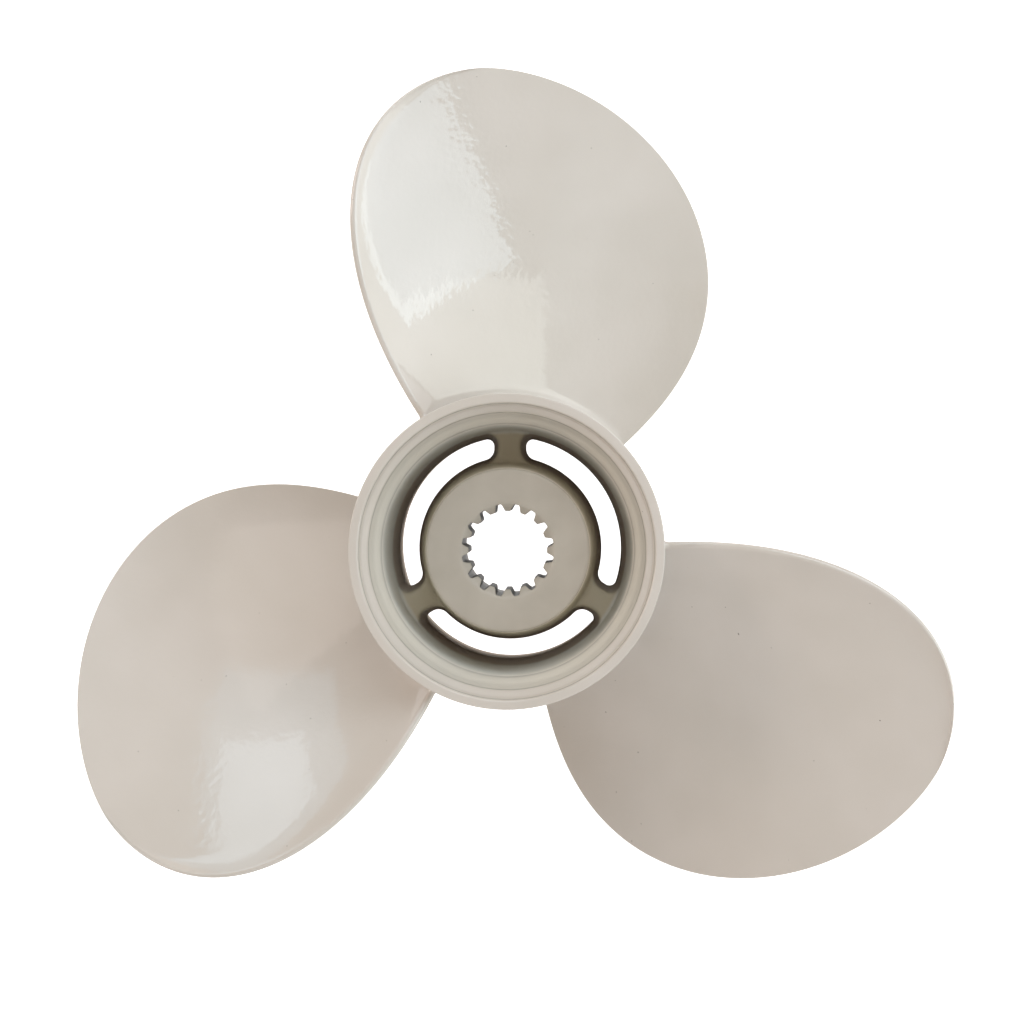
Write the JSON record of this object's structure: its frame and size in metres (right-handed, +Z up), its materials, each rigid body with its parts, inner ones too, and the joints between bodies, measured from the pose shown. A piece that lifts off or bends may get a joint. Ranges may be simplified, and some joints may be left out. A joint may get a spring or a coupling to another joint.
{
  "type": "boat propeller",
  "caption": "Outboard boat propeller with broad round blades on an open exhaust barrel, and a splined sleeve in a rubber-cushioned inner hub.",
  "frame": {"origin": "on the shaft axis, in the plane of the splined sleeve's aft face, where the nut's washer seats", "axes": "+Y along the shaft axis, forward towards the engine's gearcase; -Y aft; +Z up, along the middle of the upper blade's root; +X to starboard"},
  "size_m": [0.3109, 0.1303, 0.2897],
  "materials": {
    "cast_paint": "gloss",
    "sleeve_paint": "satin",
    "rubber": "matte"
  },
  "bodies": {
    "drive_bush": {"splined_sleeve": "sleeve_paint", "rubber_damper": "rubber"},
    "propeller": {"barrel": "cast_paint", "inner_hub": "cast_paint", "rib_1": "cast_paint", "rib_2": "cast_paint", "rib_3": "cast_paint", "blade_1": "cast_paint", "blade_2": "cast_paint", "blade_3": "cast_paint"}
  },
  "joints": [
    {"name": "damper_twist", "type": "hinge", "parent": "drive_bush", "child": "propeller", "pos_m": [0, 0.05, 0], "axis": [0, 1, 0], "range_deg": [-12, 12], "stiffness_Nm_per_rad": 900}
  ]
}
